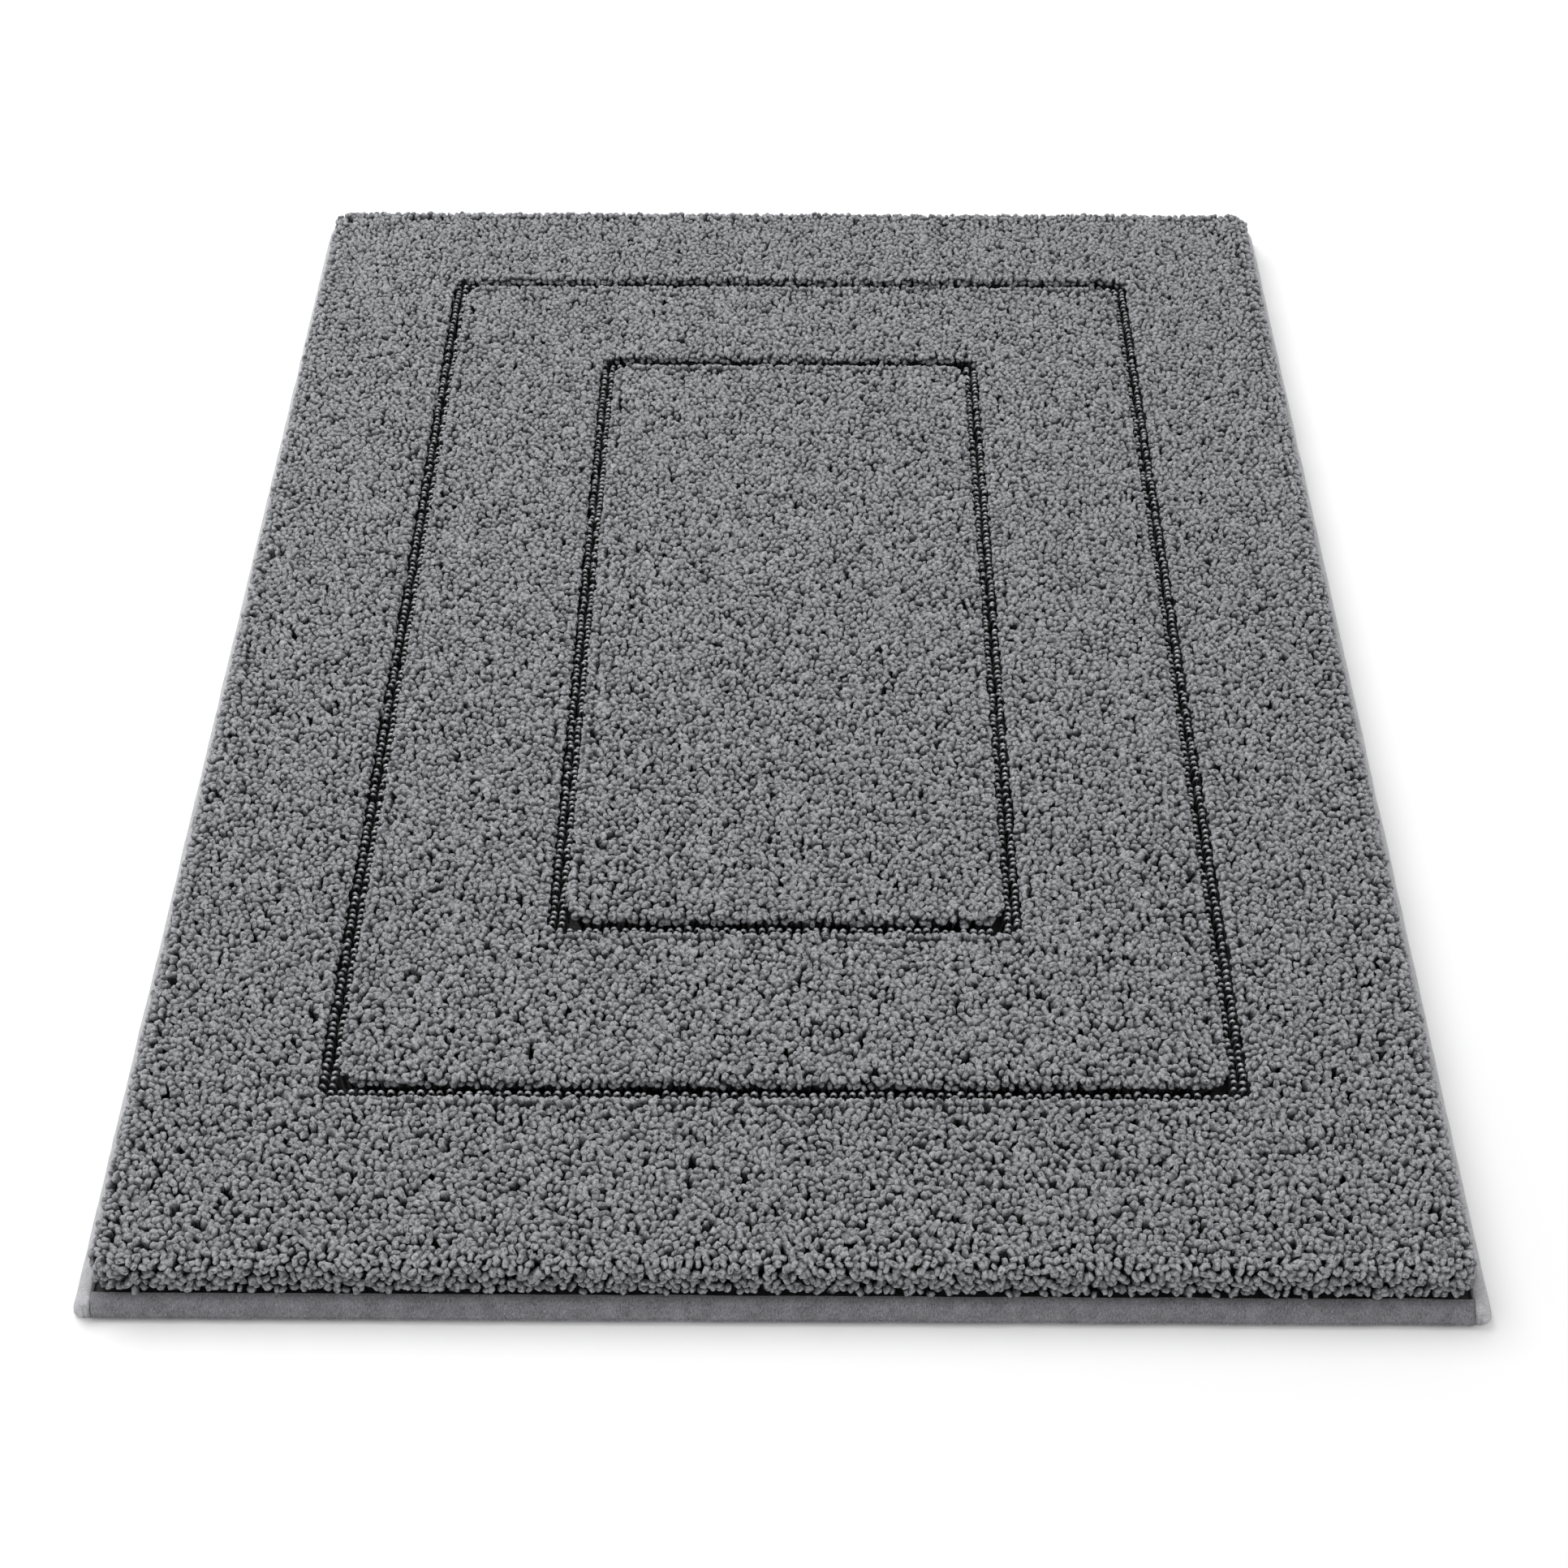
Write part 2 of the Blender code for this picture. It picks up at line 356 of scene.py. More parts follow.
@dataclass(frozen=True)
class Rect:
    """A rectangle square to the axes, in metres."""

    left: float
    right: float
    front: float
    back: float

    def inset(self, by: float) -> "Rect":
        """The same rectangle with every side moved inwards."""
        return Rect(self.left + by, self.right - by, self.front + by, self.back - by)

    def holds(self, points: np.ndarray, corner: float = 0.0) -> np.ndarray:
        """Which points lie inside it, with its corners rounded to a radius."""
        core = self.inset(corner)
        past_x = np.maximum(np.maximum(core.left - points[:, 0], points[:, 0] - core.right), 0)
        past_y = np.maximum(np.maximum(core.front - points[:, 1], points[:, 1] - core.back), 0)
        return np.hypot(past_x, past_y) <= corner

    def walk(self, count: int, corner: float, start: float = 0.0) -> tuple[np.ndarray, np.ndarray]:
        """Walk round it in even steps, with its corners rounded.

        Args:
            count: number of steps.
            corner: radius of the corners.
            start: how far into the first step the walk starts, from 0 to 1.

        Returns:
            The points, and the outward direction at each.
        """
        wide, deep = self.right - self.left - 2 * corner, self.back - self.front - 2 * corner
        arc = corner * math.pi / 2
        centres = [(self.left + corner, self.front + corner), (self.right - corner, self.front + corner),
                   (self.right - corner, self.back - corner), (self.left + corner, self.back - corner)]
        points, facing = [], []
        for step in (np.arange(count) + start) * (2 * wide + 2 * deep + 4 * arc) / count:
            side = 0
            while side < 3 and step > (wide, deep)[side % 2] + arc:
                step -= (wide, deep)[side % 2] + arc
                side += 1
            straight = (wide, deep)[side % 2]
            heading = side * math.pi / 2
            away = heading - math.pi / 2 + (max(step - straight, 0) / corner if corner else 0)
            centre = centres[side] if step <= straight else centres[(side + 1) % 4]
            along = step if step <= straight else 0.0
            points.append((centre[0] + math.cos(away) * corner + math.cos(heading) * along,
                           centre[1] + math.sin(away) * corner + math.sin(heading) * along))
            facing.append((math.cos(away), math.sin(away)))
        return np.array(points), np.array(facing)

    def length(self, corner: float) -> float:
        """The way round it with its corners rounded."""
        return 2 * (self.right - self.left + self.back - self.front) - (8 - math.tau) * corner


def footprint(node: str) -> Rect:
    """The rectangle that a CAD node covers on the floor."""
    low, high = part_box(node)
    return Rect(low[0], high[0], low[1], high[1])


@dataclass(frozen=True)
class MatPlaces:
    """Where the CAD puts the pile fields, the channels and the layers."""

    mat: Rect
    stack: Rect
    outer_foot: Rect
    outer_hole: Rect
    middle_foot: Rect
    middle_hole: Rect
    centre_foot: Rect
    rubber_top: float
    cloth_bottom: float
    cloth_top: float
    pile_top: float
    loop_top: float
    tape_top: float
    tape_width: float
    tape_setback: float

    @classmethod
    def from_cad(cls) -> "MatPlaces":
        """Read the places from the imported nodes."""
        low, high = CAD_BOX
        front_tape, left_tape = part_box("front_binding_tape"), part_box("left_binding_tape")
        return cls(mat=Rect(low[0], high[0], low[1], high[1]), stack=footprint("woven_backing"),
                   outer_foot=footprint("pile_outer_band"),
                   outer_hole=footprint("outer_channel_loops").inset(-CLEARANCE),
                   middle_foot=footprint("pile_middle_band"),
                   middle_hole=footprint("inner_channel_loops").inset(-CLEARANCE),
                   centre_foot=footprint("pile_centre_panel"),
                   rubber_top=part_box("nonslip_backing")[1][2],
                   cloth_bottom=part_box("woven_backing")[0][2], cloth_top=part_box("woven_backing")[1][2],
                   pile_top=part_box("pile_outer_band")[1][2], loop_top=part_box("outer_channel_loops")[1][2],
                   tape_top=front_tape[1][2], tape_width=front_tape[1][1] - front_tape[0][1],
                   tape_setback=left_tape[0][1] - low[1])


# ---------------------------------------------------------------- meshes


def dressed(name: str, mesh: bpy.types.Mesh, material: bpy.types.Material) -> bpy.types.Object:
    """Put a mesh into the scene as an object with one material."""
    mesh.materials.append(material)
    made = bpy.data.objects.new(name, mesh)
    bpy.context.scene.collection.objects.link(made)
    return made


def turned_out(name: str, bm: bmesh.types.BMesh, material: bpy.types.Material) -> bpy.types.Object:
    """Make an object of a finished bmesh, with its faces outwards, and free the bmesh."""
    bmesh.ops.triangulate(bm, faces=[face for face in bm.faces if len(face.verts) > 4])
    bmesh.ops.recalc_face_normals(bm, faces=bm.faces[:])
    mesh = bpy.data.meshes.new(name)
    bm.to_mesh(mesh)
    bm.free()
    return dressed(name, mesh, material)


def hand_over(piece: bpy.types.Object, slot: Slot, *nodes: str) -> None:
    """Ride a piece on the mat, hide the CAD nodes that it stands for and log its face count."""
    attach(piece, BODY)
    if nodes:
        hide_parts(*nodes)
    log.info("%s: %d faces", piece.name, len(piece.data.polygons))


def ringed_tube(sides: int, rings: int) -> bmesh.types.BMesh:
    """Extrude a closed upright tube of unit radius, one unit between rings.

    Args:
        sides: points in a ring.
        rings: number of rings.

    Returns:
        The bmesh. Integer vertex layers called ring and spoke say where each vertex stands.
    """
    bm = bmesh.new()
    ring_layer, spoke_layer = bm.verts.layers.int.new("ring"), bm.verts.layers.int.new("spoke")
    bmesh.ops.create_circle(bm, cap_ends=False, segments=sides, radius=1.0)
    first = rim = bm.edges[:]
    for _ in range(1, rings):
        grown = bmesh.ops.extrude_edge_only(bm, edges=rim)["geom"]
        rim = [item for item in grown if isinstance(item, bmesh.types.BMEdge)]
        verts = [item for item in grown if isinstance(item, bmesh.types.BMVert)]
        rim = [edge for edge in rim if edge.verts[0] in verts and edge.verts[1] in verts]
        bmesh.ops.translate(bm, verts=verts, vec=(0, 0, 1))
    bmesh.ops.edgeloop_fill(bm, edges=first)
    bmesh.ops.edgeloop_fill(bm, edges=rim)
    bmesh.ops.recalc_face_normals(bm, faces=bm.faces[:])
    for vert in bm.verts:
        vert[ring_layer] = round(vert.co.z)
        vert[spoke_layer] = round(math.atan2(vert.co.y, vert.co.x) / math.tau * sides) % sides
    return bm


# ---------------------------------------------------------------- yarn, stamped many times


@dataclass
class YarnTemplate:
    """One small piece of yarn as triangles, ready to be repeated.

    points are in metres about the tip, foot marks the points of its foot, and uv holds
    millimetres round and along the yarn for each corner of each triangle.
    """

    points: np.ndarray
    foot: np.ndarray
    corners: np.ndarray
    uv: np.ndarray
    rise: np.ndarray

    @classmethod
    def from_bmesh(cls, bm: bmesh.types.BMesh, foot_level: float) -> "YarnTemplate":
        """Read a finished bmesh.

        Args:
            bm: a closed shape with a UV layer called yarn and a float layer called yarn_rise.
            foot_level: points below this height are the foot.

        Returns:
            The template. The bmesh is freed.
        """
        bmesh.ops.triangulate(bm, faces=bm.faces[:], quad_method="SHORT_EDGE")
        bm.verts.index_update()
        uv_layer, rise_layer = bm.loops.layers.uv["yarn"], bm.verts.layers.float["yarn_rise"]
        points = np.array([v.co[:] for v in bm.verts])
        rise = np.array([v[rise_layer] for v in bm.verts])
        corners = np.array([[loop.vert.index for loop in face.loops] for face in bm.faces])
        uv = np.array([[loop[uv_layer].uv[:] for loop in face.loops] for face in bm.faces])
        bm.free()
        return cls(points, points[:, 2] < foot_level, corners, uv, rise)


@dataclass(frozen=True)
class Station:
    """One ring of a bent yarn: its centre in the plane of the bend, its tilt and its girth, in mm."""

    x: float
    z: float
    tilt: float                     # degrees from upright, towards X
    radius: float
    # the pile and loop colours follow the rise: painted shade low down, a painted highlight near the tip
    rise: float                     # 0 down in the backing, 1 on the tip
    breadth: float = 1.0            # girth across the bend, as a share of the radius


@dataclass(frozen=True)
class YarnEnd:
    """A single closing point of a yarn: its place in mm and its rise."""

    x: float
    z: float
    rise: float


def bent_yarn(sides: int, stations: list[Station], roughened: float, rng: np.random.Generator,
              tip: YarnEnd | None = None, root: YarnEnd | None = None) -> bmesh.types.BMesh:
    """Bend a tube through stations, with every other ring turned half a side, which rounds it.

    Args:
        sides: points round the yarn.
        stations: its rings, from the foot up.
        roughened: how unround the yarn is, as a share of its radius.
        rng: source of the unroundness.
        tip: the point that closes the top, or None for a flat end.
        root: the point that closes the foot, or None for a flat end.

    Returns:
        The bmesh, with a UV layer called yarn that holds millimetres round and along the yarn.
    """
    bm = ringed_tube(sides, len(stations))
    ring_layer, spoke_layer = bm.verts.layers.int["ring"], bm.verts.layers.int["spoke"]
    rise_layer = bm.verts.layers.float.new("yarn_rise")
    last = len(stations)
    ends = {ring: end for ring, end in ((last, tip), (-1, root)) if end}
    for ring in ends:
        rim = max(ring - 1, 0)
        cap = [face for face in bm.faces if all(v[ring_layer] == rim for v in face.verts)]
        for vert in bmesh.ops.poke(bm, faces=cap)["verts"]:
            vert[ring_layer] = ring
    lumps = rng.normal(1.0, roughened, (last, sides))
    along = [0.0]
    for before, after in zip(stations, stations[1:]):
        along.append(along[-1] + math.hypot(after.x - before.x, after.z - before.z))
    along += [along[-1] + 0.8, root.z - stations[0].z if root else 0.0]
    for vert in bm.verts:
        ring, spoke = vert[ring_layer], vert[spoke_layer]
        if ring in ends:
            vert.co = (ends[ring].x * MM, 0, ends[ring].z * MM)
            vert[rise_layer] = ends[ring].rise
            continue
        station, turn = stations[ring], (spoke + ring % 2 / 2) / sides * math.tau
        girth = station.radius * MM * lumps[ring, spoke]
        offset = Vector((math.cos(turn) * girth, math.sin(turn) * girth * station.breadth, 0))
        tilt = Matrix.Rotation(math.radians(station.tilt), 3, "Y")
        vert.co = Vector((station.x * MM, 0, station.z * MM)) + tilt @ offset
        vert[rise_layer] = station.rise
    uv_layer = bm.loops.layers.uv.new("yarn")
    around = math.tau * max(station.radius for station in stations)
    for face in bm.faces:
        known = [loop.vert[spoke_layer] / sides for loop in face.loops if loop.vert[ring_layer] not in ends]
        seam = max(known) - min(known) > 0.5
        for loop in face.loops:
            turn = loop.vert[spoke_layer] / sides
            stagger = loop.vert[ring_layer] % 2 / 2 / sides
            if loop.vert[ring_layer] in ends:
                turn = sum(share + (1 if seam and share < 0.5 else 0) for share in known) / len(known)
            elif seam and turn < 0.5:
                turn += 1
            loop[uv_layer].uv = ((turn + stagger) * around, along[loop.vert[ring_layer]])
    return bm


@dataclass
class Planting:
    """Where each yarn of a piece stands: its foot, its tip, which way the tip looks and its build."""

    feet: np.ndarray
    tips: np.ndarray
    facing: np.ndarray
    spin: np.ndarray
    girth: np.ndarray
    tone: np.ndarray
    kind: np.ndarray                # which template

    @classmethod
    def upright(cls, tips: np.ndarray, spin: np.ndarray, tone: np.ndarray) -> "Planting":
        """Pieces of one build that all look straight up from where they stand."""
        count = len(tips)
        return cls(tips, tips, np.tile([0.0, 0.0, 1.0], (count, 1)), spin, np.ones(count), tone,
                   np.zeros(count, dtype=int))

    def pick(self, chosen: np.ndarray) -> "Planting":
        """The part of it that a mask picks."""
        return Planting(**{name: values[chosen] for name, values in vars(self).items()})

    @classmethod
    def joined(cls, plots: list["Planting"]) -> "Planting":
        """Several plantings as one."""
        return cls(**{name: np.concatenate([getattr(plot, name) for plot in plots])
                      for name in vars(plots[0])})


def turned_to(facing: np.ndarray, spin: np.ndarray) -> np.ndarray:
    """Rotation matrices that point Z along each direction after a spin about it.

    Args:
        facing: unit directions, one a row.
        spin: angle about the direction, in radians.

    Returns:
        One 3 x 3 matrix for each row.
    """
    helper = np.where(np.abs(facing[:, 2:3]) > 0.5, [[1.0, 0.0, 0.0]], [[0.0, 0.0, 1.0]])
    across = np.cross(facing, helper)
    across /= np.linalg.norm(across, axis=1, keepdims=True)
    along = np.cross(across, facing)
    cos, sin = np.cos(spin)[:, None], np.sin(spin)[:, None]
    return np.stack([cos * along + sin * across, cos * across - sin * along, facing], axis=2)


def stamp(name: str, templates: list[YarnTemplate], plot: Planting,
          material: bpy.types.Material) -> bpy.types.Object:
    """Repeat yarn templates over a planting as one mesh object.

    Args:
        name: the piece's name.
        templates: the yarns, in the order that the planting numbers them.
        plot: where they stand.
        material: their finish.

    Returns:
        The new object.
    """
    points, corners, uvs, rises, tones = [], [], [], [], []
    start = 0
    for index, template in enumerate(templates):
        part = plot.pick(plot.kind == index)
        if not len(part.tips):
            continue
        turn = turned_to(part.facing, part.spin)
        local = template.points[None] * part.girth[:, None, None]
        placed = np.einsum("nij,nvj->nvi", turn, local) + part.tips[:, None]
        if template.foot.any():
            sole = template.points[template.foot] * part.girth[:, None, None]
            sole[..., 2] = 0
            placed[:, template.foot] = sole + part.feet[:, None]
        count = len(template.points)
        offsets = start + np.arange(len(part.tips)) * count
        points.append(placed.reshape(-1, 3))
        corners.append((template.corners[None] + offsets[:, None, None]).reshape(-1, 3))
        uvs.append(np.tile(template.uv.reshape(-1, 2), (len(part.tips), 1)))
        rises.append(np.tile(template.rise, len(part.tips)))
        tones.append(np.repeat(part.tone, count))
        start += len(part.tips) * count
    mesh = bpy.data.meshes.new(name)
    all_points, all_corners = np.concatenate(points), np.concatenate(corners)
    mesh.vertices.add(len(all_points))
    mesh.loops.add(all_corners.size)
    mesh.polygons.add(len(all_corners))
    mesh.vertices.foreach_set("co", all_points.astype(np.float32).ravel())
    mesh.loops.foreach_set("vertex_index", all_corners.astype(np.int32).ravel())
    mesh.polygons.foreach_set("loop_start", np.arange(len(all_corners), dtype=np.int32) * 3)
    mesh.update(calc_edges=True)
    mesh.uv_layers.new(name="yarn").uv.foreach_set("vector", np.concatenate(uvs).astype(np.float32).ravel())
    for title, values in (("yarn_rise", rises), ("yarn_tone", tones)):
        attribute = mesh.attributes.new(title, "FLOAT", "POINT")
        attribute.data.foreach_set("value", np.concatenate(values).astype(np.float32))
    mesh.shade_smooth()
    mesh.validate()
    return dressed(name, mesh, material)


# ---------------------------------------------------------------- the pile


class TuftShape(Enum):
    """How the cut end of a tuft has curled."""

    BUD = "a round bloomed end"
    CUPPED = "a bloomed end with a hollow where the plies part"
    HOOK = "an end bent right over"


@dataclass(frozen=True)
class CurledTuft:
    """One tuft: an upright stem whose cut end blooms or curls over."""

    shape: TuftShape
    on_wall: bool                   # seen from the side, so its neck shows
    sides: int = 6
    length: float = 15.3            # from the backing to the tip, in mm
    roughened: float = 0.06

    def template(self, rng: np.random.Generator) -> YarnTemplate:
        """Build one curl.

        Args:
            rng: source of the curl's own proportions.

        Returns:
            The tuft with its tip at the origin, pointing up.
        """
        full = rng.uniform(0.9, 1.1)
        broad = rng.uniform(0.92, 1.1) if self.on_wall else rng.uniform(0.76, 1.14)
        lean = rng.uniform(-0.4, 0.4)
        nod = rng.uniform(-16, 16)
        reach = rng.uniform(0.8, 1.3)
        belly = 1.36 if self.on_wall else 1.7       # a slim neck shows between the round ends of a wall
        if self.shape is TuftShape.HOOK:
            stations = [Station(-0.85 * reach, -1.95, 28, 1.36 * full, 0.34, broad),
                        Station(0.2 * reach, -1.16 * full, 84, 1.28 * full, 0.76, broad),
                        Station(1.3 * reach, -1.6, 118, 1.08 * full, 0.64, broad)]
            tip = YarnEnd(1.95 * reach, -2.25, 0.4)
        elif self.shape is TuftShape.CUPPED:
            stations = [Station(lean * 0.3, -2.1, nod * 0.4, belly * full, 0.3, broad),
                        Station(lean * 0.8, -0.9, nod, 1.42 * full, 0.6, broad),
                        Station(lean, -0.12, nod, 0.8 * full, 0.82, broad)]
            tip = YarnEnd(lean, -0.5, 0.5)
        else:
            stations = [Station(lean * 0.3, -2.15, nod * 0.4, belly * full, 0.3, broad),
                        Station(lean * 0.7, -1.1, nod * 0.8, 1.44 * full, 0.56, broad),
                        Station(lean, -0.3, nod, 0.86 * full, 0.78, broad)]
            tip = YarnEnd(lean * 1.1, 0.0, 0.82)
        bm = bent_yarn(self.sides, stations, self.roughened, rng, tip, YarnEnd(0, -self.length, 0.0))
        return YarnTemplate.from_bmesh(bm, -self.length * 0.6 * MM)


@dataclass(frozen=True)
class PileEdge:
    """An edge of a pile field, where the tufts fan out and round over."""

    line: Rect
    outwards: int                   # 1 where the field ends, -1 where it has a hole
    lowest: float                   # height of the lowest row of tips
    corner: float                   # corner radius at the foot
    shoulder: float                 # radius of the rounded edge
    overhang: float                 # how far the lowest tips reach past the foot
    top_overhang: float             # the same where the wall meets the top
    stray: float                    # how far tips wander in and out


def staggered(area: Rect, pitch: float) -> np.ndarray:
    """Spots on a triangular grid that fills a rectangle, one a row."""
    x, y = np.meshgrid(np.arange(area.left, area.right, pitch),
                       np.arange(area.front, area.back, pitch * math.sqrt(3) / 2))
    x = x + (np.arange(x.shape[0]) % 2)[:, None] * pitch / 2
    return np.stack([x.ravel(), y.ravel()], axis=1)


def smooth_field(spots: np.ndarray, wavelength: float, rng: np.random.Generator) -> np.ndarray:
    """A slowly changing value at each spot, from about -1 to 1.

    Args:
        spots: places, one a row.
        wavelength: distance between its crests.
        rng: source of its waves.

    Returns:
        One value for each spot.
    """
    total, waves = np.zeros(len(spots)), 7
    for _ in range(waves):
        heading, phase = rng.uniform(0, math.tau, 2)
        pitch = math.tau / (wavelength * rng.uniform(0.7, 1.5))
        total += np.sin((spots[:, 0] * math.cos(heading) + spots[:, 1] * math.sin(heading)) * pitch + phase)
    return total / math.sqrt(waves / 2) / 1.6


def spread_evenly(spots: np.ndarray, pitch: float, rounds: int) -> np.ndarray:
    """Push crowded spots apart, as the tips in a dense pile push each other.

    Args:
        spots: places, one a row.
        pitch: the distance within which spots push.
        rounds: how many times they do.

    Returns:
        The new places.
    """
    for _ in range(rounds):
        tree = KDTree(len(spots))
        for index, (x, y) in enumerate(spots):
            tree.insert((x, y, 0), index)
        tree.balance()
        moved = spots.copy()
        for index, (x, y) in enumerate(spots):
            for place, other, distance in tree.find_range((x, y, 0), pitch):
                if other != index:
                    push = 0.3 * (pitch - distance) / max(distance, 1e-6)
                    moved[index, 0] += (x - place.x) * push
                    moved[index, 1] += (y - place.y) * push
        spots = moved
    return spots


@dataclass
class PileField:
    """One field of cut pile: upright tufts inside, and rows that fan out at each edge."""

    name: str
    node: str
    foot: Rect
    hole: Rect | None
    edges: list[PileEdge]
    floor: float
    top: float
    rng: np.random.Generator
    gauge: float = 2.6 * MM         # between neighbouring tips
    row_step: float = 2.5 * MM      # between rows of tips up a wall
    wall_gauge: float = 2.65 * MM
    lean: float = 0.2               # spread of the tufts' own lean, in radians
    swirl: float = 0.14             # how far whole patches lean together, in radians
    dips: float = 0.015             # share of the tufts that stand low
    scatter: float = 0.3            # how far tufts stray from even rows, in gauges
    settling: int = 6               # rounds of pushing each other apart
    seam: float = 0.55              # between the top row of a wall and the tufts inside, in gauges
    top_wander: float = 0.38 * MM   # spread of the tips' heights on top
    wall_wander: float = 0.45 * MM  # spread of the tips along and up a wall
    elevations: tuple = (14, 74)    # how steeply the lowest and the highest row look up, in degrees
    shapes: tuple = (TuftShape.BUD, TuftShape.HOOK, TuftShape.CUPPED)
    shares: tuple = (0.42, 0.38, 0.20)
    wall_shares: tuple = (0.70, 0.12, 0.18)
    of_each: int = 7                # templates of each shape

    def interior(self) -> Planting:
        """Tufts all over the field, clear of every edge's shoulder."""
        spots = staggered(self.foot, self.gauge)
        spots = spots + self.rng.normal(0, self.gauge * self.scatter, spots.shape)
        spots = spread_evenly(spots, self.gauge, self.settling)
        for edge in self.edges:
            inset = edge.outwards * (edge.shoulder - edge.top_overhang + self.gauge * self.seam)
            within = edge.line.inset(inset).holds(spots, max(edge.corner - inset, 0.0))
            spots = spots[within == (edge.outwards > 0)]
        count = len(spots)
        height = self.top - np.abs(self.rng.normal(0, self.top_wander, count))
        height -= (self.rng.random(count) < self.dips) * self.rng.uniform(0.5, 1.4, count) * MM
        height += np.minimum(smooth_field(spots, 22 * MM, self.rng), 0) * 0.5 * MM
        tilt = self.rng.normal(0, self.lean, (count, 2))
        for axis in (0, 1):
            tilt[:, axis] += self.swirl * smooth_field(spots, 18 * MM, self.rng)
        facing = np.column_stack([tilt, np.ones(count)])
        feet = np.column_stack([spots - tilt * 2 * MM, np.full(count, self.floor)])
        return self.built(feet, np.column_stack([spots, height]), facing, False)

    def wall(self, edge: PileEdge) -> Planting:
        """Rows of tips up one edge, from its foot over the rounded shoulder."""
        upright = max(self.top - edge.shoulder - edge.lowest, 0.0)
        arc = edge.shoulder * math.pi / 2
        rows = max(2, math.ceil((upright + arc) / self.row_step))
        plots = []
        for row in range(rows + 1):
            at = (upright + arc) * row / rows
            angle = max(0.0, at - upright) / edge.shoulder
            reach = edge.overhang + (edge.top_overhang - edge.overhang) * row / rows
            inset = edge.shoulder * (1 - math.cos(angle)) - reach
            level = self.top - edge.shoulder * (1 - math.sin(angle)) - max(upright - at, 0.0)
            line = edge.line.inset(edge.outwards * inset)
            corner = max(edge.corner - edge.outwards * inset, 0.4 * MM)
            count = round(line.length(corner) / self.wall_gauge)
            spots, out = line.walk(count, corner, self.rng.random())
            out = out * edge.outwards
            sideways = np.column_stack([-out[:, 1], out[:, 0]])
            spots = spots + out * self.rng.normal(0, edge.stray, (count, 1))
            spots = spots + sideways * self.rng.normal(0, self.wall_wander, (count, 1))
            height = np.minimum(level + self.rng.normal(0, self.wall_wander, count), self.top)
            lowest, highest = self.elevations
            elevation = math.radians(lowest + (highest - lowest) * angle / (math.pi / 2))
            elevation = elevation + self.rng.normal(0, self.lean, count)
            turn = self.rng.normal(0, 0.22, (count, 1))
            flat = out * np.cos(turn) + sideways * np.sin(turn)
            facing = np.column_stack([flat * np.cos(elevation)[:, None], np.sin(elevation)])
            back = 3.4 * MM + 1.5 * MM * math.cos(angle)
            feet = np.column_stack([spots - out * back, np.full(count, self.floor)])
            plots.append(self.built(feet, np.column_stack([spots, height]), facing, True))
        return Planting.joined(plots)

    def built(self, feet: np.ndarray, tips: np.ndarray, facing: np.ndarray, on_wall: bool) -> Planting:
        """Give tufts at known places their own spin, girth, tone and shape."""
        facing = facing / np.linalg.norm(facing, axis=1, keepdims=True)
        count = len(tips)
        shape = self.rng.choice(len(self.shapes), count, p=self.wall_shares if on_wall else self.shares)
        first = (shape + on_wall * len(self.shapes)) * self.of_each
        kind = first + self.rng.integers(0, self.of_each, count)
        return Planting(feet, tips, facing, self.rng.uniform(0, math.tau, count),
                        np.clip(self.rng.normal(1.0, 0.08, count), 0.8, 1.2), self.rng.random(count), kind)

    def pieces(self, material: bpy.types.Material) -> list[bpy.types.Object]:
        """Plant the field and stamp it in pieces small enough to export whole.

        Args:
            material: the yarn's finish.

        Returns:
            The pieces.
        """
        plot = Planting.joined([self.interior()] + [self.wall(edge) for edge in self.edges])
        templates = [CurledTuft(shape, on_wall).template(self.rng) for on_wall in (False, True)
                     for shape in self.shapes for _ in range(self.of_each)]
        x, y = plot.tips[:, 0], plot.tips[:, 1]
        middle = (self.foot.front + self.foot.back) / 2
        halves = {"left": x < 0, "right": x >= 0}
        if self.hole:
            front, back = y < self.hole.front, y > self.hole.back
            ends = {"front": front, "back": back, "side_front": ~front & ~back & (y < middle),
                    "side_back": ~front & ~back & (y >= middle)}
        else:
            ends = {"front": y < middle, "back": y >= middle}
        made = []
        for end, along in ends.items():
            for half, across in halves.items():
                piece = stamp(f"{self.name}_{end}_{half}", templates, plot.pick(along & across), material)
                hand_over(piece, Slot.PILE, self.node)
                made.append(piece)
        return made


# ---------------------------------------------------------------- the channels


@dataclass(frozen=True)
class LowLoop:
    """One uncut loop of yarn: a little arch that stands across the mat's width."""

    sides: int = 5
    span: float = 1.75              # between the legs' centre lines, in mm
    yarn_radius: float = 0.42
    leg: float = 10.4
    arch: float = 1.5               # height of the arch, as a share of a round one
    flatness: float = 1.35          # girth across the arch, as a share of the radius
    arch_steps: int = 4

    def template(self, rng: np.random.Generator) -> YarnTemplate:
        """Build one loop.

        Args:
            rng: source of its fullness.

        Returns:
            The loop with its crown at the origin.
        """
        half, radius = self.span / 2, self.yarn_radius * rng.uniform(0.94, 1.1)
        stations = [Station(-half, -radius - half - self.leg, 0, radius, 0.0)]
        for step in range(self.arch_steps + 1):
            angle = math.pi * (1 - step / self.arch_steps)
            height = half * self.arch * (math.sin(angle) - 1) - radius
            # the rise peaks on the crown and is 0 down the legs, so the loop colours paint a highlight on top
            # and shade down the legs
            stations.append(Station(half * math.cos(angle), height, math.degrees(math.pi - angle),
                                    radius, 0.2 + 0.65 * math.sin(angle), self.flatness))
        stations.append(Station(half, -radius - half - self.leg, 180, radius, 0.0))
        return YarnTemplate.from_bmesh(bent_yarn(self.sides, stations, 0.04, rng), -1.0)


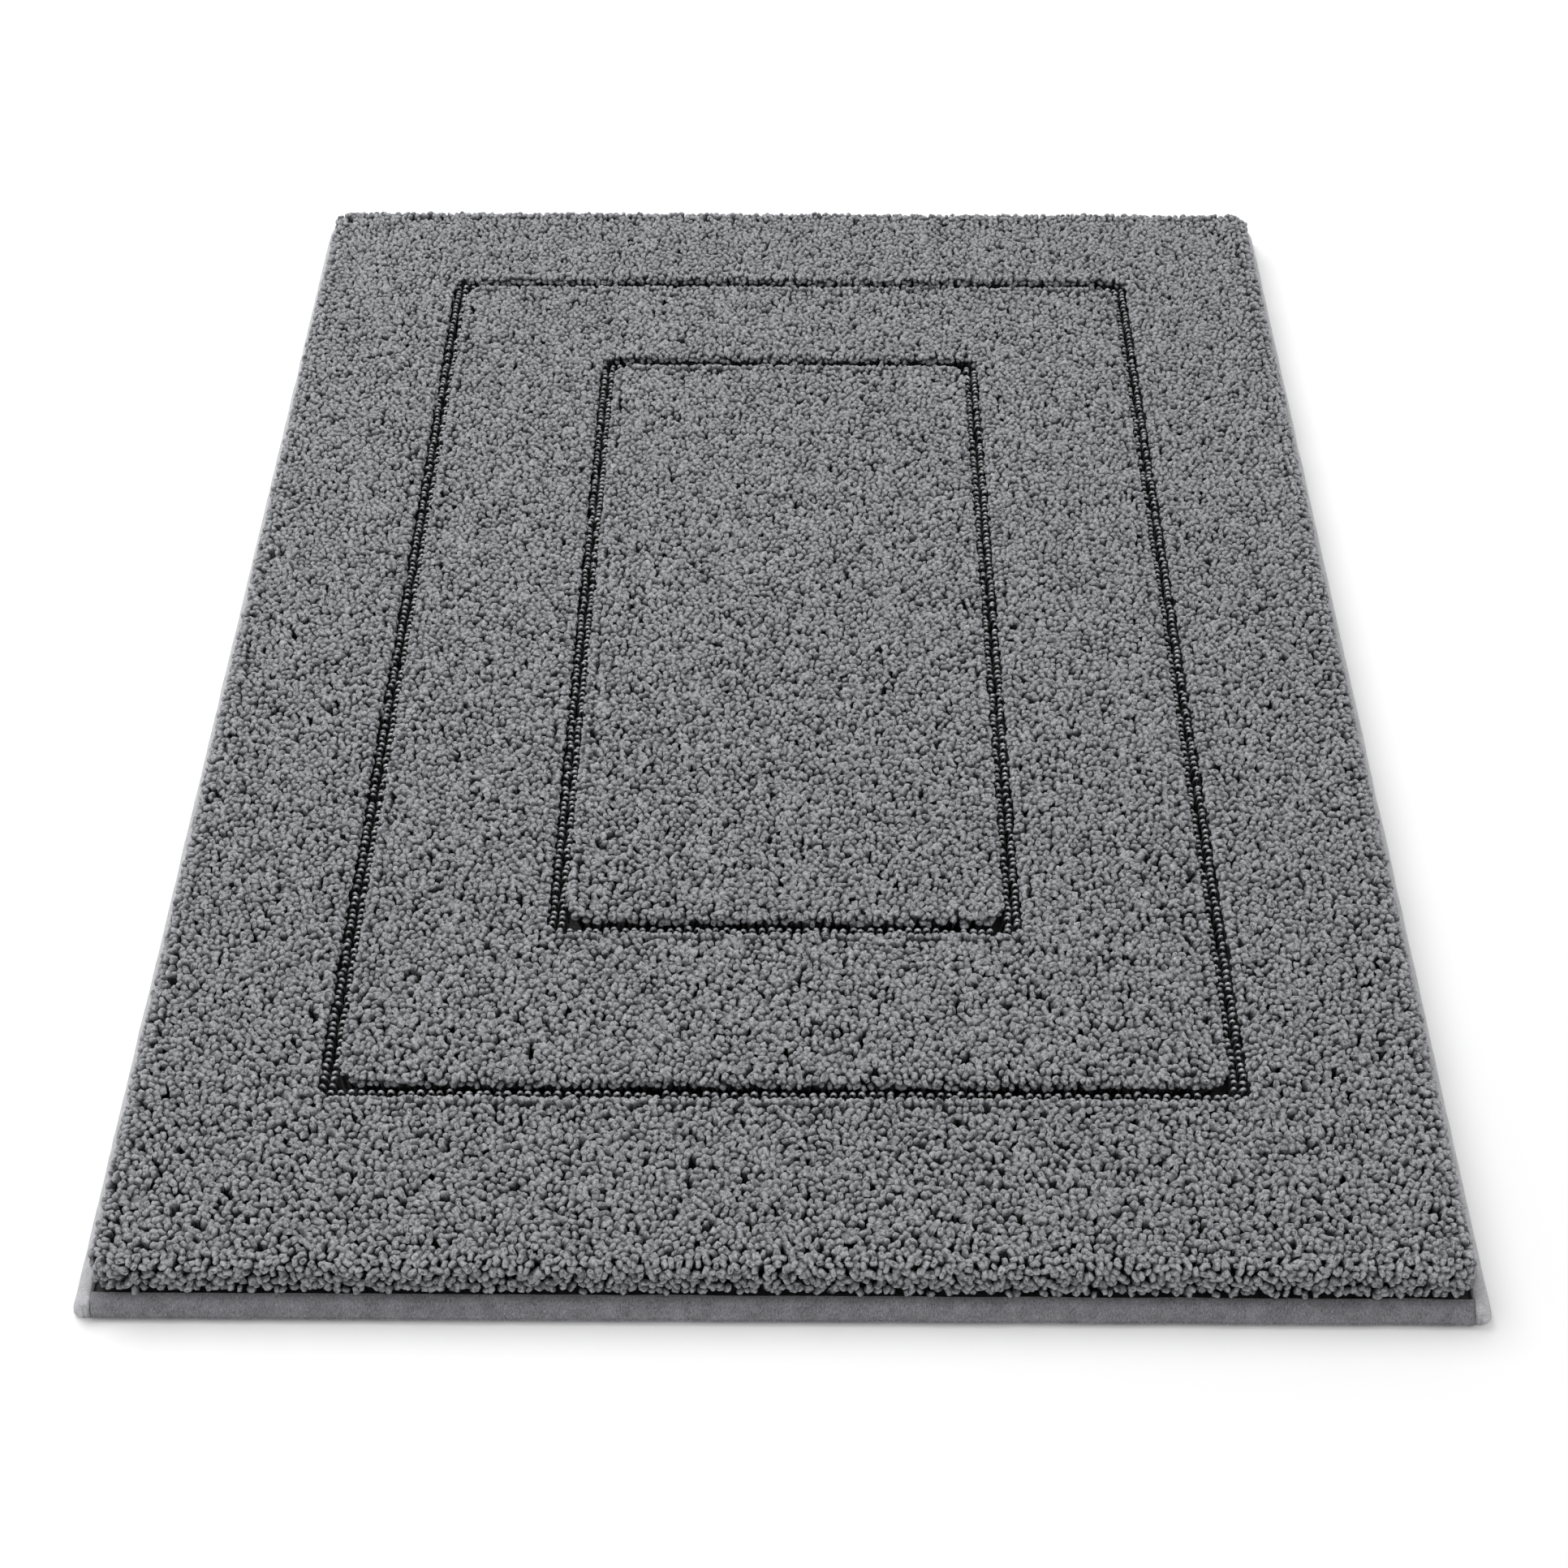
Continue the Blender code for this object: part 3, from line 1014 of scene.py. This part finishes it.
@dataclass
class ChannelLoops:
    """Two rows of low loops, side by side, right round one channel."""

    name: str
    node: str
    centre_line: Rect
    top: float
    rng: np.random.Generator
    gauge: float = 3.15 * MM        # between columns of loops
    stitch: float = 2.7 * MM        # between loops in a column
    templates: int = 6
    wander: float = 0.22 * MM       # spread of the loops' places
    sink: float = 0.55 * MM         # spread of their heights
    tilt: float = 0.12              # spread of their lean, in radians
    twist: float = 0.26             # spread of the way they stand, in radians
    fullness: float = 0.08          # spread of their girth, as a share

    def piece(self, material: bpy.types.Material) -> bpy.types.Object:
        """Stamp the loops.

        Args:
            material: the yarn's finish.

        Returns:
            The piece.
        """
        line = self.centre_line
        columns = round((line.right - line.left) / self.gauge)
        rows = round((line.back - line.front) / self.stitch)
        spots = []
        for row in (-0.5, 0.5):
            for x in np.linspace(line.left - self.gauge / 2, line.right + self.gauge / 2, columns + 2):
                spots += [(x, line.front + row * self.stitch), (x, line.back + row * self.stitch)]
            for y in np.linspace(line.front + self.stitch * 1.5, line.back - self.stitch * 1.5, rows - 2):
                spots += [(line.left + row * self.gauge, y), (line.right + row * self.gauge, y)]
        count = len(spots)
        spots = np.array(spots) + self.rng.normal(0, self.wander, (count, 2))
        tips = np.column_stack([spots, self.top - np.abs(self.rng.normal(0, self.sink, count))])
        facing = np.column_stack([self.rng.normal(0, self.tilt, (count, 2)), np.ones(count)])
        facing /= np.linalg.norm(facing, axis=1, keepdims=True)
        plot = Planting(tips, tips, facing, self.rng.normal(0, self.twist, count),
                        np.clip(self.rng.normal(1.0, self.fullness, count), 0.85, 1.15),
                        self.rng.random(count), self.rng.integers(0, self.templates, count))
        loops = [LowLoop().template(self.rng) for _ in range(self.templates)]
        made = stamp(self.name, loops, plot, material)
        hand_over(made, Slot.LOOPS, self.node)
        return made


# ---------------------------------------------------------------- the binding


class Edge(Enum):
    """The four edges, each with the direction from the mat's middle to it."""

    FRONT = (0, -1)
    BACK = (0, 1)
    LEFT = (-1, 0)
    RIGHT = (1, 0)

    @property
    def is_end(self) -> bool:
        """Whether it is one of the two short edges."""
        return self.value[0] == 0


@dataclass
class Binding:
    """Felt tape folded round one edge, and the row of stitches that holds it underneath."""

    edge: Edge
    places: MatPlaces
    rng: np.random.Generator
    ply: float = 1.2                # thickness of one ply of tape, in mm
    foot_radius: float = 1.1
    nose_points: int = 12
    groove_from_inner: float = 1.4  # from the tape's inner edge to the stitches, in mm
    groove_half: float = 0.75
    groove_depth: float = 0.8
    nub_radius: float = 2.4
    station_gap: float = 2.0
    stitch_gap: float = 3.2
    end_margin: float = 3.2
    nub_steps: int = 7
    waver_in: float = 0.22          # how far the nose wavers in and out along the edge, in mm
    waver_up: float = 0.25          # the same up and down
    wavers_per_mm: float = 0.045
    lumps: tuple = ((2.2, 0.09), (7.0, 0.12))   # sizes and heights of the felt's unevenness, in mm

    def __post_init__(self) -> None:
        """Work out the reach of the tape."""
        mat, places = self.places.mat, self.places
        if self.edge.is_end:
            self.reach = (mat.right - CLEARANCE - places.tape_width) / MM
        else:
            self.reach = (mat.back - places.tape_setback) / MM

    @property
    def name(self) -> str:
        """What its pieces' names begin with."""
        return self.edge.name.lower()

    @property
    def width(self) -> float:
        """Width of the folded tape, in mm."""
        return self.places.tape_width / MM

    def profile(self, inset: float) -> list[tuple[float, float]]:
        """The tape's closed outline, as (in from the mat's edge, height) pairs in mm.

        Args:
            inset: how far the nose is drawn in, at a rounded end.

        Returns:
            The outline, which starts on the floor at the inner edge.
        """
        inner = self.width
        top = self.places.tape_top / MM - inset / 2
        middle, half = inner - self.groove_from_inner, self.groove_half
        pocket_top = (self.places.cloth_top + CLEARANCE) / MM
        pocket_in = inner - 0.05
        if inset < 0.1:
            pocket_in = (self.places.stack.left - self.places.mat.left - CLEARANCE) / MM
        points = [(inner, 0.0), (middle + half, 0.0), (middle + half * 0.6, self.groove_depth * 0.8),
                  (middle, self.groove_depth), (middle - half * 0.6, self.groove_depth * 0.8),
                  (middle - half, 0.0), (inset + self.foot_radius, 0.0),
                  (inset + self.foot_radius * 0.3, self.foot_radius * 0.3)]
        nose = inner - self.ply - inset
        for step in range(self.nose_points):
            angle = math.pi / 2 * step / (self.nose_points - 1)
            points.append((inset + nose * (1 - math.cos(angle)),
                           self.foot_radius + (top - self.foot_radius) * math.sin(angle)))
        return points + [(inner - 0.3, top - 0.1), (inner, top - 0.6), (inner, pocket_top),
                         (pocket_in, pocket_top), (pocket_in, self.ply), (inner, self.ply)]

    def put(self, along: float, inwards: float, height: float) -> Vector:
        """A point from how far along the edge, how far in from it and how high it is, in mm."""
        out_x, out_y = self.edge.value
        mat = self.places.mat
        across = (mat.right if out_x else mat.back) / MM - inwards
        if self.edge.is_end:
            return Vector((along, out_y * across, height)) * MM
        return Vector((out_x * across, along, height)) * MM

    def tape(self, material: bpy.types.Material) -> bpy.types.Object:
        """Fold the tape round the edge.

        Args:
            material: the felt.

        Returns:
            The piece.
        """
        stations = []
        if not self.edge.is_end:
            for step in range(self.nub_steps):
                angle = math.pi / 2 * step / self.nub_steps
                stations.append((self.reach - self.nub_radius * (1 - math.sin(angle)),
                                 self.nub_radius * (1 - math.cos(angle))))
        straight = self.reach - (0 if self.edge.is_end else self.nub_radius)
        count = round(2 * straight / self.station_gap)
        run = [(-along, inset) for along, inset in stations[::-1]]
        run += [(along, 0.0) for along in np.linspace(-straight, straight, count)]
        run += stations
        run.sort()
        outlines = [self.profile(inset) for _, inset in run]
        bm = ringed_tube(len(outlines[0]), len(run))
        ring_layer, spoke_layer = bm.verts.layers.int["ring"], bm.verts.layers.int["spoke"]
        uv_layer = bm.loops.layers.uv.new("felt")
        middle = outlines[len(outlines) // 2]
        steps = np.diff(np.array(middle + middle[:1]), axis=0)
        around = np.concatenate([[0], np.cumsum(np.hypot(steps[:, 0], steps[:, 1]))])
        for face in bm.faces:
            spokes = [loop.vert[spoke_layer] for loop in face.loops]
            wraps = len(spokes) == 4 and max(spokes) - min(spokes) > 2
            for loop, spoke in zip(face.loops, spokes):
                turn = around[-1] if wraps and spoke == 0 else around[spoke]
                loop[uv_layer].uv = (run[loop.vert[ring_layer]][0], turn)
        for vert in bm.verts:
            along, _ = run[vert[ring_layer]]
            inwards, height = outlines[vert[ring_layer]][vert[spoke_layer]]
            place = self.put(along, inwards, height)
            outer = 1.0 if inwards < self.width - 0.1 and height > 0.05 else 0.0
            slow = noise.noise(Vector((along * self.wavers_per_mm, sum(self.edge.value) * 7, 0)))
            lumps = sum(noise.noise(place / (size * MM)) * tall for size, tall in self.lumps)
            inwards += (self.waver_in * slow - lumps) * outer
            height += (self.waver_up * slow + lumps) * outer * min(1.0, height / 2)
            vert.co = self.put(along, max(inwards, 0.0), max(height, 0.0))
        made = turned_out(f"{self.name}_felt_tape", bm, material)
        made.data.shade_smooth()
        hand_over(made, Slot.TAPE, f"{self.name}_binding_tape")
        return made

    def stitches(self, material: bpy.types.Material) -> bpy.types.Object:
        """Sew the row of stitches into the groove under the tape.

        Args:
            material: the thread.

        Returns:
            The piece.
        """
        reach = self.reach - self.end_margin
        count = round(2 * reach / self.stitch_gap)
        across = self.width - self.groove_from_inner
        spots = np.linspace(-reach + self.stitch_gap / 2, reach - self.stitch_gap / 2, count)
        tips = np.array([self.put(along, across + slip, 0.08)
                         for along, slip in zip(spots, self.rng.normal(0, 0.05, count))])
        template = YarnTemplate.from_bmesh(
            bent_yarn(5, [Station(-1.75, 0.72, 45, 0.22, 0.0), Station(-1.35, 0.4, 62, 0.3, 1.0),
                          Station(-0.5, 0.3, 88, 0.31, 1.0), Station(0.5, 0.3, 92, 0.31, 1.0),
                          Station(1.35, 0.4, 118, 0.3, 1.0), Station(1.75, 0.72, 135, 0.22, 0.0)],
                      0.03, self.rng), -1.0)
        heading = (0.0 if self.edge.is_end else math.pi / 2) + self.rng.normal(0, 0.03, count)
        plot = Planting.upright(tips, heading, self.rng.random(count))
        made = stamp(f"{self.name}_stitches", [template], plot, material)
        hand_over(made, Slot.THREAD, f"{self.name}_binding_thread")
        return made


# ---------------------------------------------------------------- the layers underneath


@dataclass
class Underlayers:
    """The woven cloth that the tufts stand in, its latex coat and the dotted rubber below."""

    places: MatPlaces
    lip_inset: float = 6.0 * MM     # from the mat's edge to the rubber's lower step
    lip_height: float = 1.5 * MM
    sole: float = 0.5 * MM          # height of the rubber sheet over the floor, between dots
    dot_pitch: float = 11.0 * MM
    dot_radius: float = 1.5 * MM
    dot_sink: float = 0.08 * MM     # how deep the dots stand in the sheet
    dot_margin: float = 4.0 * MM    # from the lower step to the dots
    chamfer: float = 0.3 * MM       # at the sheet's lower rim
    corner: float = 2.0 * MM
    points: int = 96

    def slab(self, name: str, levels: list[tuple[float, float]], material: bpy.types.Material
             ) -> bpy.types.Object:
        """Stack rounded rectangles into one closed layer.

        Args:
            name: the piece's name.
            levels: how far each outline is in from the mat's edge, and its height.
            material: the finish.

        Returns:
            The piece.
        """
        bm = ringed_tube(self.points, len(levels))
        ring_layer, spoke_layer = bm.verts.layers.int["ring"], bm.verts.layers.int["spoke"]
        outlines = [self.places.mat.inset(inset).walk(self.points, self.corner)[0] for inset, _ in levels]
        for vert in bm.verts:
            x, y = outlines[vert[ring_layer]][vert[spoke_layer]]
            vert.co = (x, y, levels[vert[ring_layer]][1])
        return turned_out(name, bm, material)

    def cloth(self) -> None:
        """Lay the woven cloth."""
        places = self.places
        inset = places.stack.left - places.mat.left
        piece = self.slab("woven_cloth", [(inset, places.cloth_bottom), (inset, places.cloth_top)],
                          WovenTapeCloth().material())
        hand_over(piece, Slot.CLOTH, "woven_backing")

    def latex(self) -> None:
        """Give the CAD's latex coat its finish."""
        node = bpy.data.objects["latex_precoat"]
        finish = MattRubber("dried_latex_precoat", "#b4b1a6", "#d0cdc2", 0.8, 0.5).material()
        for slot in node.material_slots:
            slot.material = finish

    def rubber(self) -> None:
        """Make the rubber sheet and the dots that grip the floor."""
        places = self.places
        finish = MattRubber("moulded_grip_rubber", "#4b4b4e", "#66666a", 0.6, 0.75).material()
        inset = places.stack.left - places.mat.left
        sheet = self.slab("rubber_backing",
                          [(self.lip_inset + self.chamfer, self.sole),
                           (self.lip_inset, self.sole + self.chamfer * 2 / 3),
                           (self.lip_inset, self.lip_height), (inset, self.lip_height),
                           (inset, places.rubber_top)], finish)
        hand_over(sheet, Slot.RUBBER, "nonslip_backing")
        field_rect = places.mat.inset(self.lip_inset + self.dot_margin)
        spots = staggered(field_rect, self.dot_pitch)
        spots = spots[field_rect.holds(spots)]
        count = len(spots)
        height = (self.sole + self.dot_sink) / MM
        rng = np.random.default_rng(SEED + 1)
        template = YarnTemplate.from_bmesh(
            bent_yarn(6, [Station(0, 0, 0, self.dot_radius * 0.7 / MM, 0.0),
                          Station(0, height, 0, self.dot_radius / MM, 1.0)], 0.0, rng), -1.0)
        tips = np.column_stack([spots, np.zeros(count)])
        plot = Planting.upright(tips, np.zeros(count), np.zeros(count))
        hand_over(stamp("rubber_grip_dots", [template], plot, finish), Slot.RUBBER, "nonslip_backing")

    def build(self) -> None:
        """Make and dress the layers."""
        self.cloth()
        self.latex()
        self.rubber()


# ---------------------------------------------------------------- studio


@dataclass
class Studio:
    """A plain white floor, soft light all round and the camera."""

    paper: str = "#fbfbfb"
    floor_reach: float = 6.0
    camera_place: tuple[float, float, float] = (0.0037, -0.781, 0.6785)
    pitch_down: float = 43.5        # degrees below the horizon
    yaw: float = 0.36               # degrees to the left of the length axis
    lens: float = 61.3
    sky: float = 0.69
    key: float = 19.0
    key_from: tuple[float, float, float] = (-0.64, 0.54, 1.47)
    key_size: float = 1.3

    def build(self) -> None:
        """Set the floor, the lights and the camera."""
        bm = bmesh.new()
        bmesh.ops.create_grid(bm, x_segments=1, y_segments=1, size=self.floor_reach)
        mesh = bpy.data.meshes.new("studio_floor")
        bm.to_mesh(mesh)
        bm.free()
        white, _, shader = new_material("white_studio_paper")
        fill(shader, {"Base Color": linear(self.paper), "Roughness": 1.0, "Specular IOR Level": 0.0})
        dressed("studio_floor", mesh, white)

        scene = bpy.context.scene
        scene.view_settings.view_transform = "Standard"
        world = bpy.data.worlds.new("soft_white")
        world.use_nodes = True
        background = world.node_tree.nodes["Background"]
        background.inputs["Color"].default_value = (1.0, 1.0, 1.0, 1.0)
        background.inputs["Strength"].default_value = self.sky
        scene.world = world

        key = bpy.data.lights.new("overhead_key", "AREA")
        key.energy = self.key
        key.shape = "DISK"
        key.size = self.key_size
        lamp = bpy.data.objects.new("overhead_key", key)
        lamp.location = self.key_from
        lamp.rotation_euler = (-Vector(self.key_from)).to_track_quat("-Z", "Y").to_euler()
        scene.collection.objects.link(lamp)

        data = bpy.data.cameras.new("camera")
        data.lens = self.lens
        data.sensor_width = 36.0
        data.clip_start = 0.01
        camera = bpy.data.objects.new("camera", data)
        camera.location = self.camera_place
        camera.rotation_euler = Euler((math.radians(90 - self.pitch_down), 0.0, math.radians(self.yaw)))
        scene.collection.objects.link(camera)
        scene.camera = camera


# ---------------------------------------------------------------- the mat


@dataclass
class BathMat:
    """The whole mat, built piece by piece from the CAD's places."""

    places: MatPlaces
    rng: np.random.Generator = field(default_factory=lambda: np.random.default_rng(SEED))

    def pile(self) -> None:
        """Plant the three fields of cut pile."""
        yarn = CurledYarn().material()
        places = self.places
        common = {"floor": places.cloth_top + CLEARANCE, "top": places.pile_top, "rng": self.rng}
        channel = {"lowest": places.loop_top + 0.4 * MM, "shoulder": 2.0 * MM, "overhang": 0.8 * MM,
                   "top_overhang": 0.9 * MM, "stray": 0.3 * MM}
        bound = {"lowest": places.tape_top + 1.9 * MM, "shoulder": 4.4 * MM, "overhang": 0.8 * MM,
                 "top_overhang": 0.2 * MM, "stray": 0.3 * MM}
        fields = [
            PileField("outer_pile", "pile_outer_band", places.outer_foot, places.outer_hole,
                      [PileEdge(places.outer_foot, 1, corner=7 * MM, **bound),
                       PileEdge(places.outer_hole, -1, corner=7 * MM, **channel)], **common),
            PileField("middle_pile", "pile_middle_band", places.middle_foot, places.middle_hole,
                      [PileEdge(places.middle_foot, 1, corner=8 * MM, **channel),
                       PileEdge(places.middle_hole, -1, corner=7 * MM, **channel)], **common),
            PileField("centre_pile", "pile_centre_panel", places.centre_foot, None,
                      [PileEdge(places.centre_foot, 1, corner=8 * MM, **channel)], **common),
        ]
        for one in fields:
            one.pieces(yarn)

    def loops(self) -> None:
        """Sew the low loops along both channels."""
        # the near-black root is painted shade down between the loops and the pale tip a painted highlight on
        # their crowns
        yarn = CurledYarn(name="looped_polyester_yarn", root="#0e0e0f", flank="#6c6d70", tip="#cbccd0",
                          tone_spread=0.22, bump_mm=0.08, clump_bump_mm=0.1, roughness=0.55,
                          specular=0.5).material()
        places = self.places
        for name, node, outer, inner in (("outer_loops", "outer_channel_loops", places.outer_hole,
                                          places.middle_foot),
                                         ("inner_loops", "inner_channel_loops", places.middle_hole,
                                          places.centre_foot)):
            half = (inner.left - outer.left) / 2
            ChannelLoops(name, node, outer.inset(half), places.loop_top, self.rng).piece(yarn)

    def binding(self) -> None:
        """Bind the four edges."""
        thread = SpunThread().material()
        upright = BrushedFelt().material()
        for edge in Edge:
            one = Binding(edge, self.places, self.rng)
            # the left and right tapes get a paler copy of the same felt: painted light on their upward faces,
            # as all four tapes are one felt
            combed = {Edge.LEFT: 40.0, Edge.RIGHT: -40.0}.get(edge)
            felt = upright if combed is None else BrushedFelt(
                name=f"brushed_felt_tape_{edge.name.lower()}", ground="#9e9ea2", nap="#d8d8dc",
                comb_degrees=combed).material()
            one.tape(felt)
            one.stitches(thread)

    def build(self) -> None:
        """Make and dress every piece."""
        self.pile()
        self.loops()
        Underlayers(self.places).build()
        self.binding()


def main() -> None:
    """Build the mat and its studio."""
    logging.basicConfig(level=logging.INFO, format="%(name)s %(message)s")
    BathMat(MatPlaces.from_cad()).build()
    Studio().build()


if __name__ == "__main__":
    main()
